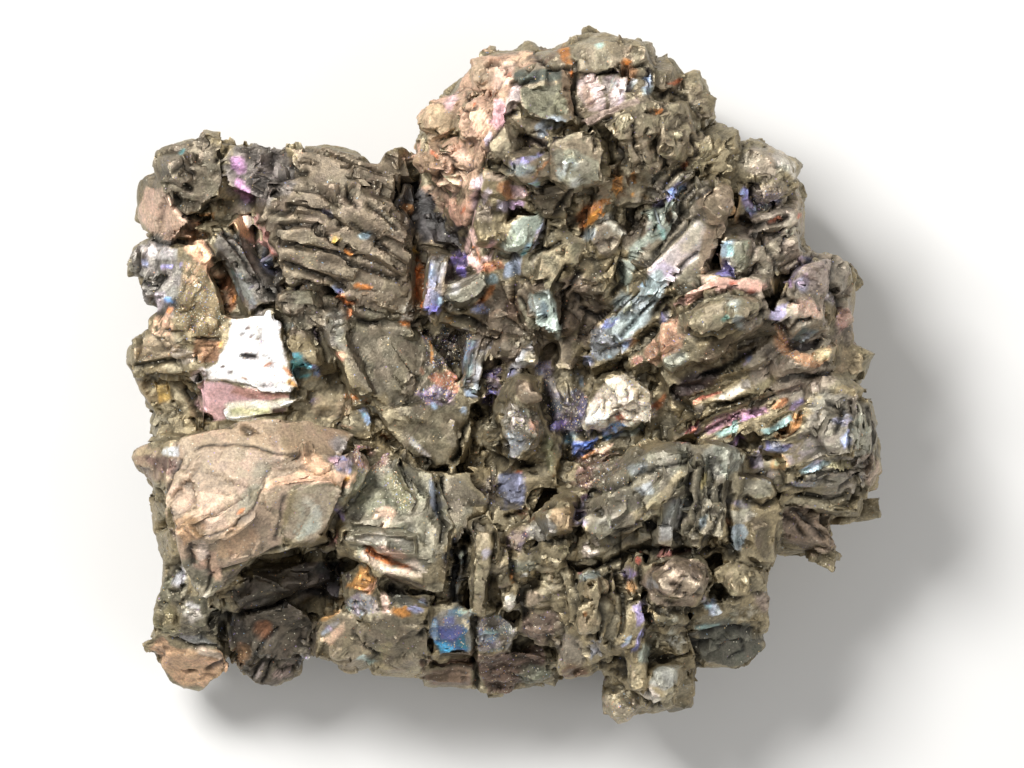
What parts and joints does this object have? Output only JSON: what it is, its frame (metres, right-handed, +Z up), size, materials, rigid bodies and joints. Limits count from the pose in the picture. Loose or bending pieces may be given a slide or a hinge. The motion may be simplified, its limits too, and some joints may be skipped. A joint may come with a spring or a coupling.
{
  "type": "chalcocite mineral specimen",
  "caption": "Hand-sized cluster of intergrown chalcocite crystals with iridescent tarnish, lying on its broken back; flat-based natural specimen for display.",
  "frame": {"origin": "under the middle of the cluster, on the flat that it rests on", "axes": "+Z up out of the crystal side; +X along the cluster's longest side, towards the fan of long crystals; +Y towards its tallest lobe"},
  "size_m": [0.122, 0.1112, 0.0555],
  "materials": {
    "chalcocite": "dull olive-grey metallic ore with tan, blue, violet and orange tarnish"
  },
  "bodies": {
    "root": {"chalcocite": "chalcocite"}
  },
  "joints": []
}
